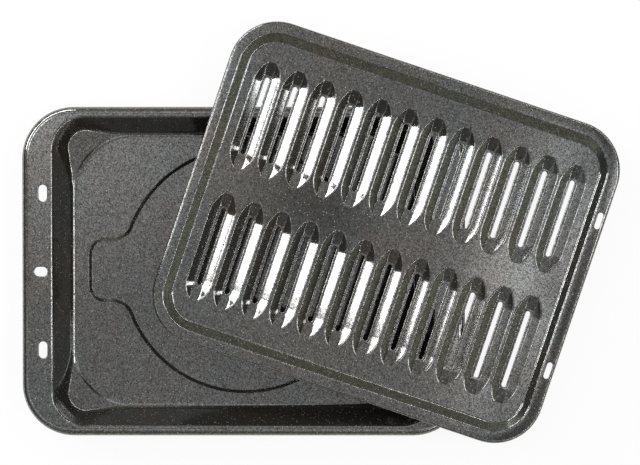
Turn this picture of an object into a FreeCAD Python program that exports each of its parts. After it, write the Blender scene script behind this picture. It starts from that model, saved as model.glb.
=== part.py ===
"""A pressed and enamelled steel broiler pan with its slotted grid lying askew on it.

Everything is in millimetres. The origin is at the middle of the pan's underside, with
+X along the pan, +Y across it and +Z up. Both pieces are one sheet each. A sheet is the
space that lies on it, grown by the sheet's thickness, less that space itself, so every
form below takes grow: nothing for the space, and the thickness for the sheet's outside.
"""
import FreeCAD
import Part

import math
import os

# Sheet and bends, shared by both pieces
SHEET = 1.0                    # steel with its enamel
BEND = 2.2                     # inside radius where the sheet bends
OVERCUT = 2.0                  # how far a cutter runs past what it cuts
TOUCHING = 0.001               # points nearer than this are one point

# Drip pan, outside
PAN_LENGTH = 436.0
PAN_WIDTH = 324.0
PAN_HEIGHT = 41.0              # underside to the top of the rim
PAN_CORNER = 51.0              # corner radius of the outer edge
PAN_ROLL = 4.0                 # radius over the turned-down edge
PAN_SKIRT = 7.0                # top of the rim to the turned-down edge

# Drip pan, bowl
END_FLANGE = 30.5              # outer edge to the opening, at each end
SIDE_RIM = 10.5                # outer edge to the opening, along each side
WALL_RUN = 14.2                # how far the walls lean in on their way down
FLOOR_CORNER = 18.0

# Drip pan, sloping floor corners: what lies outside a cone that opens upwards
RAMP_RADIUS = 68.0             # of the crease between the flat floor and the slope
RAMP_SLOPE = 0.5               # rise for each millimetre outwards

# Drip pan, shallow well pressed into the floor: a disc with a lobe at each end
WELL_DEPTH = 1.5
WELL_RUN = 2.0                 # width of its sloping edge
WELL_SIDE_MARGIN = 15.0        # long floor edge to the disc
WELL_END_MARGIN = 18.0         # short floor edge to the lobe
LOBE_STANDOUT = 20.0           # least reach of a lobe past the disc
LOBE_WIDTH = 61.6
LOBE_CORNER = 14.5
LOBE_FILLET = 20.0             # where a lobe runs into the disc

# Drip pan, hanging holes in the flange at the -X end
HANG_SPACING = 154.0           # between the two outer holes
HANG_LENGTH = 16.5
HANG_WIDTH = 8.3
HANG_INSET = 21.0              # outer edge of the pan to the outer holes
MIDDLE_LENGTH = 13.0
MIDDLE_WIDTH = 9.2
MIDDLE_INSET = 19.0

# Grid, outside, sized to nest in the pan
HOOK_CLEARANCE = 0.5           # its edge reaches down outside the pan's long rims
FLANGE_SHOWING = 19.0          # of each end flange, when the grid is nested
GRID_CORNER = 48.0
GRID_ROLL = 3.0
GRID_SKIRT = 4.5
GRID_SIDE_RIM = 11.2
PLAIN_END_RIM = 10.2           # -X end
HOLED_END_RIM = 12.2           # +X end, which has the hanging holes

# Grid, tray
TRAY_DEPTH = 7.0
TRAY_CORNER = 28.0             # of the flat field
TRAY_OPENING_CORNER = 37.0
TRAY_SIDE_RUN = 9.3
PLAIN_END_RUN = 9.0
HOLED_END_RUN = 6.8

# Grid, troughs: boat-shaped, in two rows
COLUMNS = 12
TROUGH_DEPTH = 5.2
RIDGE = 3.0                    # left between two neighbours
FIELD_END_MARGIN = 9.3         # short edge of the field to the first trough
FIELD_SIDE_MARGIN = 18.6       # long edge of the field to the tips
ROW_GAP = 21.8                 # between the tips of the two rows
BOW = 20.7                     # length of an end, to the point where its round sides would meet
BOW_FLATS = 3                  # flats that follow each round side of an end
BLUNT = 1.2                    # what the sloping end takes off that point
FLAT_WIDTH = 9.8               # bottom of a trough
FLAT_SETBACK = 15.8            # tip of a trough to the end of its flat bottom
SLOT_WIDTH = 4.4
SLOT_LAND = 1.8                # end of the slot to the end of the flat bottom

# Grid, hanging holes in the +X rim
GRID_HANG_SPACING = 154.0
GRID_HANG_LENGTH = 16.5
GRID_HANG_WIDTH = 5.4
GRID_HANG_INSET = 6.4          # outer edge of the grid to the holes

# How the grid lies on the pan
LAY_TURN = -18.6               # degrees about +Z
LAY_INSET_X = 78.5             # +X end of the pan to the grid's middle
LAY_INSET_Y = 123.5            # +Y side of the pan to the grid's middle
LAY_GAP = 0.2                  # between the trough bottoms and the pan's rim

# What follows from these, for the pan
PAN_FLOOR = SHEET + WELL_DEPTH
PAN_DEPTH = PAN_HEIGHT - PAN_FLOOR
OPENING_HALF_X = PAN_LENGTH / 2 - END_FLANGE
OPENING_HALF_Y = PAN_WIDTH / 2 - SIDE_RIM
FLOOR_HALF_X = OPENING_HALF_X - WALL_RUN
FLOOR_HALF_Y = OPENING_HALF_Y - WALL_RUN
LOBE_REACH = FLOOR_HALF_X - WELL_END_MARGIN
DISC_RADIUS = min(FLOOR_HALF_Y - WELL_SIDE_MARGIN, LOBE_REACH - LOBE_STANDOUT)
WALL_TURN = math.atan2(PAN_DEPTH, WALL_RUN)

# What follows from these, for the grid, which has its own origin under its troughs
GRID_LENGTH = PAN_LENGTH - 2 * FLANGE_SHOWING
GRID_WIDTH = PAN_WIDTH + 2 * (SHEET + HOOK_CLEARANCE)
GRID_FIELD = SHEET + TROUGH_DEPTH
GRID_HEIGHT = GRID_FIELD + TRAY_DEPTH
FIELD_MIN_X = -GRID_LENGTH / 2 + PLAIN_END_RIM + PLAIN_END_RUN
FIELD_MAX_X = GRID_LENGTH / 2 - HOLED_END_RIM - HOLED_END_RUN
FIELD_HALF_Y = GRID_WIDTH / 2 - GRID_SIDE_RIM - TRAY_SIDE_RUN
PITCH = (FIELD_MAX_X - FIELD_MIN_X - 2 * FIELD_END_MARGIN + RIDGE) / COLUMNS
TROUGH_HALF_WIDTH = (PITCH - RIDGE) / 2
TROUGH_HALF_LENGTH = (FIELD_HALF_Y - FIELD_SIDE_MARGIN - ROW_GAP / 2) / 2
FIRST_COLUMN = FIELD_MIN_X + FIELD_END_MARGIN + TROUGH_HALF_WIDTH
ROW_MIDDLE = ROW_GAP / 2 + TROUGH_HALF_LENGTH


def point(x, y, z):
    """Return a position or a direction."""
    return FreeCAD.Vector(x, y, z)


def leaning(foot, run, rise, height, grow):
    """Return where a leaning wall stands at a height above its foot.

    The wall runs out by run on its way up by rise. Growth is square to the wall.
    """
    return foot + run * height / rise + grow * math.hypot(1, run / rise)


def arc(middle_x, middle_y, radius, start, end, z):
    """Return the level arc that runs from one angle to another, in degrees."""
    along = []
    for angle in (start, (start + end) / 2, end):
        turn = math.radians(angle)
        along.append(point(middle_x + radius * math.cos(turn), middle_y + radius * math.sin(turn), z))
    return Part.Arc(*along).toShape()


def closed(arcs):
    """Join arcs, in the order given, into a closed wire with straight sides between them."""
    edges = []
    for index, edge in enumerate(arcs):
        start = edge.Vertexes[-1].Point
        end = arcs[(index + 1) % len(arcs)].Vertexes[0].Point
        edges.append(edge)
        if start.distanceToPoint(end) > TOUCHING:
            edges.append(Part.makeLine(start, end))
    return Part.Wire(edges)


def rounded_rectangle(min_x, max_x, half_y, corner, z):
    """Return the outline of a rectangle with round corners, level at z."""
    return closed([
        arc(max_x - corner, half_y - corner, corner, 0, 90, z),
        arc(min_x + corner, half_y - corner, corner, 90, 180, z),
        arc(min_x + corner, corner - half_y, corner, 180, 270, z),
        arc(max_x - corner, corner - half_y, corner, 270, 360, z),
    ])


def well_outline(out, z):
    """Return the outline of the well in the pan's floor, moved outwards, level at z."""
    half_lobe = LOBE_WIDTH / 2
    corner_x = LOBE_REACH - LOBE_CORNER
    corner_y = half_lobe - LOBE_CORNER
    fillet_y = half_lobe + LOBE_FILLET
    fillet_x = math.sqrt((DISC_RADIUS + LOBE_FILLET) ** 2 - fillet_y ** 2)
    lean = math.degrees(math.atan2(fillet_y, fillet_x))
    fillet = LOBE_FILLET - out
    corner = LOBE_CORNER + out
    disc = DISC_RADIUS + out
    return closed([
        arc(fillet_x, -fillet_y, fillet, 180 - lean, 90, z),
        arc(corner_x, -corner_y, corner, -90, 0, z),
        arc(corner_x, corner_y, corner, 0, 90, z),
        arc(fillet_x, fillet_y, fillet, -90, lean - 180, z),
        arc(0, 0, disc, lean, 180 - lean, z),
        arc(-fillet_x, fillet_y, fillet, -lean, -90, z),
        arc(-corner_x, corner_y, corner, 90, 180, z),
        arc(-corner_x, -corner_y, corner, 180, 270, z),
        arc(-fillet_x, -fillet_y, fillet, 90, lean, z),
        arc(0, 0, disc, 180 + lean, 360 - lean, z),
    ])


def upright_face(corners):
    """Return a flat face in the XZ plane from its corners there."""
    points = [point(x, 0, z) for x, z in corners]
    return Part.Face(Part.makePolygon(points + points[:1]))


def oblong(middle_x, middle_y, length, width, turned, low_z, high_z):
    """Return a cutter for a hole with round ends, along X or, if turned, along Y."""
    radius = width / 2
    straight = (length - width) / 2
    outline = closed([
        arc(straight, 0, radius, -90, 90, low_z),
        arc(-straight, 0, radius, 90, 270, low_z),
    ])
    cutter = Part.Face(outline).extrude(point(0, 0, high_z - low_z))
    if turned:
        cutter.rotate(point(0, 0, 0), point(0, 0, 1), 90)
    cutter.translate(point(middle_x, middle_y, 0))
    return cutter


def all_round(quarter, z):
    """Return a level outline, anticlockwise, from the corners in its first quarter."""
    end = quarter + [(-x, y) for x, y in reversed(quarter) if x]
    return [point(x, y, z) for x, y in end + [(-x, -y) for x, y in end]]


def prism_between(low, high):
    """Return the solid with flat sides between two level outlines of as many corners."""
    faces = []
    for outline in (low, high):
        faces.append(Part.Face(Part.makePolygon(outline + outline[:1])))
    for index, corner in enumerate(low):
        following = (index + 1) % len(low)
        side = [corner, low[following], high[following], high[index], corner]
        faces.append(Part.Face(Part.makePolygon(side)))
    return Part.Solid(Part.Shell(faces))


def edges_at(shape, z, half_x, half_y):
    """Return a shape's level edges at height z that lie inside the given half sizes."""
    found = []
    for edge in shape.Edges:
        box = edge.BoundBox
        level = max(abs(box.ZMin - z), abs(box.ZMax - z)) < TOUCHING
        inside = max(abs(box.XMin), box.XMax) < half_x and max(abs(box.YMin), box.YMax) < half_y
        if level and inside:
            found.append(edge)
    return found


def flat_across(radius, turn):
    """Return the size of a chamfer that just touches a bend of this radius midway.

    On the hidden side of a sheet it stands for the bend with far fewer facets.
    """
    return radius * (math.tan(turn / 2) - math.tan(turn / 4))


def turned_down_plate(length, width, corner, roll, skirt, top):
    """Return a plate of sheet whose outer edge is turned down all round."""
    outline = rounded_rectangle(-length / 2, length / 2, width / 2, corner, top - skirt)
    plate = Part.Face(outline).extrude(point(0, 0, skirt))
    plate = plate.makeFillet(roll, edges_at(plate, top, length, width))

    half_x = length / 2 - SHEET
    low_z = top - skirt - OVERCUT
    outline = rounded_rectangle(-half_x, half_x, width / 2 - SHEET, corner - SHEET, low_z)
    hollow = Part.Face(outline).extrude(point(0, 0, top - SHEET - low_z))
    bend = flat_across(roll - SHEET, math.pi / 2)
    hollow = hollow.makeChamfer(bend, edges_at(hollow, top - SHEET, length, width))
    return plate.cut(hollow)


def floor_ramp(side_x, side_y, grow):
    """Return what stands under the sloping floor of one corner: a block less a cone."""
    middle = point(side_x * (FLOOR_HALF_X - RAMP_RADIUS), side_y * (FLOOR_HALF_Y - RAMP_RADIUS), 0)
    crease_z = PAN_FLOOR - grow * math.hypot(1, RAMP_SLOPE)
    low_z = -OVERCUT
    reach = RAMP_RADIUS + WALL_RUN
    high_z = crease_z + RAMP_SLOPE * (math.sqrt(2) * reach - RAMP_RADIUS)
    low_radius = RAMP_RADIUS + (low_z - crease_z) / RAMP_SLOPE
    high_radius = RAMP_RADIUS + (high_z - crease_z) / RAMP_SLOPE
    block = Part.makeBox(reach, reach, high_z - low_z)
    block.translate(point(min(side_x, 0) * reach, min(side_y, 0) * reach, low_z))
    cone = Part.makeCone(low_radius, high_radius, high_z - low_z, point(0, 0, low_z))
    ramp = block.cut(cone)
    ramp.translate(middle)
    return ramp


def round_cornered(middle_x, middle_y, radii, low_z, high_z):
    """Return a block on four upright cones, one about each corner's middle.

    The two radii are the cones' own, at the block's bottom and top.
    """
    low, high = radii
    rise = high_z - low_z
    up = point(0, 0, 1)
    along_x = upright_face([(-middle_x - low, low_z), (middle_x + low, low_z),
                            (middle_x + high, high_z), (-middle_x - high, high_z)])
    along_x.translate(point(0, -middle_y, 0))
    along_y = upright_face([(-middle_y - low, low_z), (middle_y + low, low_z),
                            (middle_y + high, high_z), (-middle_y - high, high_z)])
    along_y.rotate(point(0, 0, 0), up, 90)
    along_y.translate(point(-middle_x, 0, 0))
    block = along_x.extrude(point(0, 2 * middle_y, 0)).fuse(along_y.extrude(point(2 * middle_x, 0, 0)))
    for side_x in (-1, 1):
        for side_y in (-1, 1):
            corner = point(side_x * middle_x, side_y * middle_y, low_z)
            block = block.fuse(Part.makeCone(low, high, rise, corner, up))
    return block.removeSplitter()


def bowl(grow, top):
    """Return the space in the pan, from its floor up to top."""
    low_z = PAN_FLOOR - grow
    radii = [leaning(FLOOR_CORNER, WALL_RUN, PAN_DEPTH, z - PAN_FLOOR, grow) for z in (low_z, top)]
    middle_x = FLOOR_HALF_X - FLOOR_CORNER
    middle_y = FLOOR_HALF_Y - FLOOR_CORNER
    space = round_cornered(middle_x, middle_y, radii, low_z, top)
    foot = edges_at(space, low_z, PAN_LENGTH, PAN_WIDTH)
    if grow:
        space = space.makeChamfer(flat_across(BEND + grow, WALL_TURN), foot)
    else:
        space = space.makeFillet(BEND, foot)
    for side_x in (-1, 1):
        for side_y in (-1, 1):
            space = space.cut(floor_ramp(side_x, side_y, grow))
    return space


def well(grow, top):
    """Return the space in the shallow well, up to top."""
    wires = []
    for z in (SHEET - grow, top):
        out = leaning(-WELL_RUN / 2, WELL_RUN, WELL_DEPTH, z - SHEET, grow)
        wires.append(well_outline(out, z))
    return Part.makeLoft(wires, True, True)


def drip_pan():
    """The deep pan: wide end flanges, leaning walls, sloping corners and a well."""
    plate = turned_down_plate(PAN_LENGTH, PAN_WIDTH, PAN_CORNER, PAN_ROLL, PAN_SKIRT, PAN_HEIGHT)
    shell = plate.fuse(bowl(SHEET, PAN_HEIGHT - SHEET / 2)).cut(bowl(0, PAN_HEIGHT + OVERCUT))
    half_x = OPENING_HALF_X + SHEET
    half_y = OPENING_HALF_Y + SHEET
    shell = shell.makeFillet(BEND + SHEET, edges_at(shell, PAN_HEIGHT, half_x, half_y))
    underside = edges_at(shell, PAN_HEIGHT - SHEET, half_x, half_y)
    shell = shell.makeChamfer(flat_across(BEND, WALL_TURN), underside)
    shell = shell.fuse(well(SHEET, PAN_FLOOR - SHEET / 2)).cut(well(0, PAN_FLOOR + OVERCUT))

    low_z = PAN_HEIGHT - SHEET - OVERCUT
    high_z = PAN_HEIGHT + OVERCUT
    edge_x = -PAN_LENGTH / 2
    for side in (-1, 1):
        middle_y = side * HANG_SPACING / 2
        hole = oblong(edge_x + HANG_INSET, middle_y, HANG_LENGTH, HANG_WIDTH, True, low_z, high_z)
        shell = shell.cut(hole)
    middle_x = edge_x + MIDDLE_INSET
    return shell.cut(oblong(middle_x, 0, MIDDLE_LENGTH, MIDDLE_WIDTH, False, low_z, high_z))


def tray(grow, top):
    """Return the space in the grid's shallow tray, from its flat field up to top."""
    wires = []
    for z in (GRID_FIELD - grow, top):
        height = z - GRID_FIELD
        min_x = -leaning(-FIELD_MIN_X, PLAIN_END_RUN, TRAY_DEPTH, height, grow)
        max_x = leaning(FIELD_MAX_X, HOLED_END_RUN, TRAY_DEPTH, height, grow)
        half_y = leaning(FIELD_HALF_Y, TRAY_SIDE_RUN, TRAY_DEPTH, height, grow)
        corner = leaning(TRAY_CORNER, TRAY_OPENING_CORNER - TRAY_CORNER, TRAY_DEPTH, height, grow)
        wires.append(rounded_rectangle(min_x, max_x, half_y, corner, z))
    return Part.makeLoft(wires, True, True)


def boat_outline(half_width, z):
    """Return the corners of a trough's outline, level at z, going round anticlockwise.

    Each end is pointed, with round sides. The flats that follow a round side touch it.
    """
    straight = TROUGH_HALF_LENGTH + BLUNT - BOW
    swing = (BOW ** 2 - TROUGH_HALF_WIDTH ** 2) / (2 * TROUGH_HALF_WIDTH)
    step = math.acos(swing / (swing + TROUGH_HALF_WIDTH)) / BOW_FLATS
    radius = swing + half_width
    quarter = []
    for flat in range(BOW_FLATS):
        turn = (flat + 1 / 2) * step
        reach = radius / math.cos(step / 2)
        quarter.append((reach * math.cos(turn) - swing, straight + reach * math.sin(turn)))
    last = BOW_FLATS * step
    quarter.append((0, straight + (radius - swing * math.cos(last)) / math.sin(last)))
    return all_round(quarter, z)


def slot_outline(z):
    """Return the corners of a slot's outline, level at z, with flats for its round ends."""
    half_x = SLOT_WIDTH / 2
    half_y = TROUGH_HALF_LENGTH - FLAT_SETBACK - SLOT_LAND
    cut = half_x * (1 - math.tan(math.pi / 8))
    return all_round([(half_x, half_y - cut), (half_x - cut, half_y)], z)


def trough(grow, top):
    """Return the space in one boat-shaped trough, lying along Y about the origin.

    A sloping end takes each point off and leads down to the flat bottom.
    """
    low_z = SHEET - grow
    wall_run = TROUGH_HALF_WIDTH - FLAT_WIDTH / 2
    flat_end = TROUGH_HALF_LENGTH - FLAT_SETBACK
    outlines = []
    ends = []
    for z in (low_z, top):
        half_width = leaning(FLAT_WIDTH / 2, wall_run, TROUGH_DEPTH, z - SHEET, grow)
        outlines.append(boat_outline(half_width, z))
        ends.append(leaning(flat_end, FLAT_SETBACK, TROUGH_DEPTH, z - SHEET, grow))
    space = prism_between(*outlines)

    beyond = TROUGH_HALF_LENGTH + BOW
    below = upright_face([(ends[0], low_z), (ends[1], top), (beyond, top), (beyond, low_z - OVERCUT),
                          (ends[0], low_z - OVERCUT)])
    below.translate(point(0, -BOW, 0))
    for quarter_turns in (1, 3):
        slope = below.extrude(point(0, 2 * BOW, 0))
        slope.rotate(point(0, 0, 0), point(0, 0, 1), 90 * quarter_turns)
        space = space.cut(slope)
    return space


def broiling_grid():
    """The grid: a shallow tray with two rows of troughs, each slotted along its bottom."""
    plate = turned_down_plate(GRID_LENGTH, GRID_WIDTH, GRID_CORNER, GRID_ROLL, GRID_SKIRT, GRID_HEIGHT)
    shell = plate.fuse(tray(SHEET, GRID_HEIGHT - SHEET / 2)).cut(tray(0, GRID_HEIGHT + OVERCUT))
    opening_half_x = GRID_LENGTH / 2 - PLAIN_END_RIM + SHEET
    opening_half_y = GRID_WIDTH / 2 - GRID_SIDE_RIM + SHEET
    shell = shell.makeFillet(BEND + SHEET, edges_at(shell, GRID_HEIGHT, opening_half_x, opening_half_y))

    outside = trough(SHEET, GRID_FIELD - SHEET / 2)
    space = trough(0, GRID_FIELD + SHEET / 2)
    slot = prism_between(slot_outline(-OVERCUT), slot_outline(SHEET + OVERCUT))
    places = []
    for column in range(COLUMNS):
        for middle_y in (-ROW_MIDDLE, ROW_MIDDLE):
            places.append(point(FIRST_COLUMN + column * PITCH, middle_y, 0))
    shell = shell.multiFuse([outside.translated(place) for place in places])
    shell = shell.cut([space.translated(place) for place in places])
    shell = shell.cut([slot.translated(place) for place in places])

    hole_x = GRID_LENGTH / 2 - GRID_HANG_INSET
    low_z = GRID_HEIGHT - SHEET - OVERCUT
    high_z = GRID_HEIGHT + OVERCUT
    for side in (-1, 1):
        middle_y = side * GRID_HANG_SPACING / 2
        hole = oblong(hole_x, middle_y, GRID_HANG_LENGTH, GRID_HANG_WIDTH, True, low_z, high_z)
        shell = shell.cut(hole)
    return shell


def lay_on_pan(grid):
    """Turn the grid and set it down on the pan's rim, past the pan's +X end."""
    grid.rotate(point(0, 0, 0), point(0, 0, 1), LAY_TURN)
    middle_x = PAN_LENGTH / 2 - LAY_INSET_X
    middle_y = PAN_WIDTH / 2 - LAY_INSET_Y
    grid.translate(point(middle_x, middle_y, PAN_HEIGHT + LAY_GAP))
    return grid


def main():
    """Write each piece to its own file."""
    os.makedirs("parts", exist_ok=True)
    pieces = {
        "drip_pan": drip_pan(),
        "broiling_grid": lay_on_pan(broiling_grid()),
    }
    for name, shape in pieces.items():
        solid = shape.removeSplitter().Solids[0]
        solid.exportStep(f"parts/{name}.step")
        box = solid.BoundBox
        print(name, "valid", solid.isValid(), "solids", len(shape.Solids), "faces", len(solid.Faces))
        print(f"  volume {solid.Volume:.0f} from {box.XMin:.2f} {box.YMin:.2f} {box.ZMin:.2f}"
              f" to {box.XMax:.2f} {box.YMax:.2f} {box.ZMax:.2f}")


main()
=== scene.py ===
"""An enamelled drip pan with its slotted grid lying askew on it, on a pale studio floor.

The file is laid out as an add-on and is run as a script. Everything is in metres, in the
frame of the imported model: +X along the pan, +Y across it and +Z up. Each sheet is drawn
as its upper surface, from rings that follow its bends and fills between them, and is then
given its thickness downwards.
"""

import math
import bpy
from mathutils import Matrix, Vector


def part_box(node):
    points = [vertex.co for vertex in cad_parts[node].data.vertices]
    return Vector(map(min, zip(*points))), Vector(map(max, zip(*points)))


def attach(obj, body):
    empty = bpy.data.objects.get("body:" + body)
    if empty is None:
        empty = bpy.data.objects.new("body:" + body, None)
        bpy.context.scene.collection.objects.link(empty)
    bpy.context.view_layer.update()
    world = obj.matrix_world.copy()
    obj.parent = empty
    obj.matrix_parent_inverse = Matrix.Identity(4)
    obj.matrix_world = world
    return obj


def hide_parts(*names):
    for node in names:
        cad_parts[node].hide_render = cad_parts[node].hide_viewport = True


bl_info = {
    "name": "Enamelled Broiler Pan",
    "version": (1, 0, 0),
    "blender": (4, 5, 0),
    "location": "3D View > Sidebar > Broiler Pan",
    "description": "Builds a drip pan, its slotted grid and a studio around them",
    "category": "Add Mesh",
}

import bmesh
import bpy
from bpy.props import FloatProperty, FloatVectorProperty, IntProperty, PointerProperty
from mathutils import Matrix, Vector
from mathutils.geometry import delaunay_2d_cdt

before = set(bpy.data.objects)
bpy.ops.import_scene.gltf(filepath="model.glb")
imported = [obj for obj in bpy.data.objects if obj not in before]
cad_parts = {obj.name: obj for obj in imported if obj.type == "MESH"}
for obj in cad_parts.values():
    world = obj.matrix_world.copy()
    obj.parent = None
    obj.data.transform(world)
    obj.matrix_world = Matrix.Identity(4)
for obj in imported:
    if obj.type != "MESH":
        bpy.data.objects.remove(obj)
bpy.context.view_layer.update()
PAN_LOW, PAN_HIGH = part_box("drip_pan")
GRID_LOW, GRID_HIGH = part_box("broiling_grid")

QUARTER_TURN = math.pi / 2
GRID_TURN = math.radians(-18.6)

# Into how many parts the drawing divides what is round or long
CORNER_STEPS = 18        # a quarter turn round a sheet's corner
BEND_STEPS = 6           # a bend across a sheet's edge or wall
PAN_SIDE_STEPS = 60      # a straight side of the pan
GRID_SIDE_STEPS = 24     # a straight side of the grid
WALL_STEPS = 26          # the pan's wall from its upper to its lower bend
RAMP_STEPS = 45          # a sloping floor corner, along its arc
BOW_STEPS = 7            # a trough's side where it curves towards its tip
KEEL_STEPS = 4           # the bend between a trough's side and its sloping end
TROUGH_STEPS = 4         # a bend at a trough's lip, foot or slot
TROUGH_WALL_STEPS = 9    # a trough's wall between those bends

# Small lengths in metres that the photo doesn't show one by one
PAN_HOLE_LIP = 0.001     # radius of the edge of a hole in the pan
GRID_HOLE_LIP = 0.0005   # radius of the edge of a hole in the grid's rim
SLOT_LIP = 0.001         # radius of the edge of a slot
WELL_BEND = 0.0005       # radius of the two bends of the well's edge
WALL_CREASE = 0.003      # width of the blend from the wall into a sloping floor corner
FLOOR_RING = 0.001       # width of the ring of floor at the foot of the wall
RAMP_SPACING = 0.004     # between the arcs of points up a sloping floor corner
CLEARANCE = 0.0008       # how far those points keep inside the ring of floor
SIDE_TIP = 0.0028        # last stretch of a trough's side, which is straight


def length(name, default, description):
    """Return a property for a length in metres."""
    return FloatProperty(name=name, description=description, default=default, unit="LENGTH", precision=4)


def tone(name, default, description):
    """Return a property for a colour."""
    return FloatVectorProperty(name=name, description=description, default=default, subtype="COLOR",
                               size=3, min=0, max=1)


class PanSizes(bpy.types.PropertyGroup):
    """Sizes of the drip pan."""

    sheet: length("Sheet", 0.00095, "Thickness of the steel with its enamel")
    corner: length("Corner", 0.051, "Corner radius of the outer edge")
    roll: length("Roll", 0.0069, "Radius over the turned-down edge")
    skirt: length("Skirt", 0.007, "Top of the rim to the turned-down edge")
    end_flange: length("End flange", 0.0305, "Outer edge to the opening at each end")
    side_rim: length("Side rim", 0.0105, "Outer edge to the opening along each side")
    bend: length("Bend", 0.0032, "Radius over the bend from the rim into the wall")
    wall_run: length("Wall run", 0.0142, "How far the walls lean in on their way down")
    floor_level: length("Floor level", 0.0032, "Upper side of the floor above the table")
    floor_corner: length("Floor corner", 0.018, "Corner radius of the floor")
    foot: length("Foot", 0.005, "Radius of the bend from the wall into the floor")
    ramp_radius: length("Ramp radius", 0.068, "Radius of the crease of a sloping floor corner")
    ramp_crease: length("Ramp crease", 0.003, "Half the width over which that crease is rounded")
    ramp_slope: FloatProperty(name="Ramp slope", description="Rise of a sloping floor corner for its run",
                              default=0.5, min=0)
    well_depth: length("Well depth", 0.0022, "Depth of the well pressed into the floor")
    well_run: length("Well run", 0.0031, "Width of the well's sloping edge")
    well_disc: length("Well disc", 0.1223, "Radius of the round part of the well")
    lobe_reach: length("Lobe reach", 0.1553, "Middle of the well to the end of a lobe")
    lobe_width: length("Lobe width", 0.0616, "Width of a lobe")
    lobe_corner: length("Lobe corner", 0.0145, "Corner radius of a lobe")
    lobe_fillet: length("Lobe fillet", 0.020, "Radius where a lobe runs into the disc")
    hang_spacing: length("Hole spacing", 0.154, "Between the two outer hanging holes")
    hang_length: length("Hole length", 0.0165, "Length of an outer hanging hole")
    hang_width: length("Hole width", 0.0083, "Width of an outer hanging hole")
    hang_inset: length("Hole inset", 0.021, "Outer edge of the pan to the outer holes")
    middle_length: length("Middle hole length", 0.013, "Length of the hole between them")
    middle_width: length("Middle hole width", 0.0092, "Width of the hole between them")
    middle_inset: length("Middle hole inset", 0.019, "Outer edge of the pan to the middle hole")


class GridSizes(bpy.types.PropertyGroup):
    """Sizes of the slotted grid, which has its own origin at its middle, on its rim."""

    sheet: length("Sheet", 0.00095, "Thickness of the steel with its enamel")
    length: length("Length", 0.39797, "Length over the turned-down edges")
    width: length("Width", 0.32697, "Width over the turned-down edges")
    corner: length("Corner", 0.048, "Corner radius of the outer edge")
    roll: length("Roll", 0.003, "Radius over the turned-down edge")
    skirt: length("Skirt", 0.0045, "Top of the rim to the turned-down edge")
    side_rim: length("Side rim", 0.0112, "Outer edge to the tray along each side")
    plain_rim: length("Plain end rim", 0.0102, "Outer edge to the tray at the end without holes")
    holed_rim: length("Holed end rim", 0.0122, "Outer edge to the tray at the end with holes")
    tray_depth: length("Tray depth", 0.007, "Rim down to the flat field")
    tray_corner: length("Tray corner", 0.037, "Corner radius of the tray at the rim")
    field_corner: length("Field corner", 0.028, "Corner radius of the flat field")
    side_run: length("Side run", 0.0093, "Width of the tray's slope along each side")
    plain_run: length("Plain end run", 0.009, "Width of the slope at the end without holes")
    holed_run: length("Holed end run", 0.0068, "Width of the slope at the end with holes")
    bend: length("Bend", 0.0032, "Radius over the bend from the rim into the slope")
    foot: length("Foot", 0.004, "Radius of the bend from the slope into the field")
    columns: IntProperty(name="Columns", description="Troughs in a row", default=12, min=1)
    trough_depth: length("Trough depth", 0.0052, "Field down to a trough's flat bottom")
    ridge: length("Ridge", 0.003, "Left between two neighbours")
    end_margin: length("End margin", 0.0093, "Short edge of the field to the first trough")
    side_margin: length("Side margin", 0.02045, "Long edge of the field to the tips")
    row_gap: length("Row gap", 0.0255, "Between the tips of the two rows")
    bow: length("Bow", 0.02575, "Length of an end, to the point where its sides would meet")
    blunt: length("Blunt", 0.00375, "What the sloping end takes off that point")
    flat_width: length("Flat width", 0.0098, "Bottom of a trough")
    flat_setback: length("Flat setback", 0.0139, "Tip of a trough to the end of its flat bottom")
    lip: length("Lip", 0.0028, "Radius over the bend from the field into a trough")
    trough_foot: length("Trough foot", 0.0015, "Radius of the bend into a trough's flat bottom")
    keel_corner: length("Keel corner", 0.0012, "Radius between a trough's wall and its sloping end")
    hollow: FloatProperty(name="Hollow", default=0.05, min=0, max=1,
                          description="Four times the sag of a trough's walls, as a share of their height")
    slot_width: length("Slot width", 0.0044, "Width of a slot")
    slot_land: length("Slot land", 0.00185, "End of a slot to the end of the flat bottom")
    hang_spacing: length("Hole spacing", 0.154, "Between the two hanging holes")
    hang_length: length("Hole length", 0.0165, "Length of a hanging hole")
    hang_width: length("Hole width", 0.0054, "Width of a hanging hole")
    hang_inset: length("Hole inset", 0.0064, "Outer edge of the grid to the holes")
    turn: FloatProperty(name="Turn", description="How far the grid is turned on the pan",
                        default=GRID_TURN, subtype="ANGLE")


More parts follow.
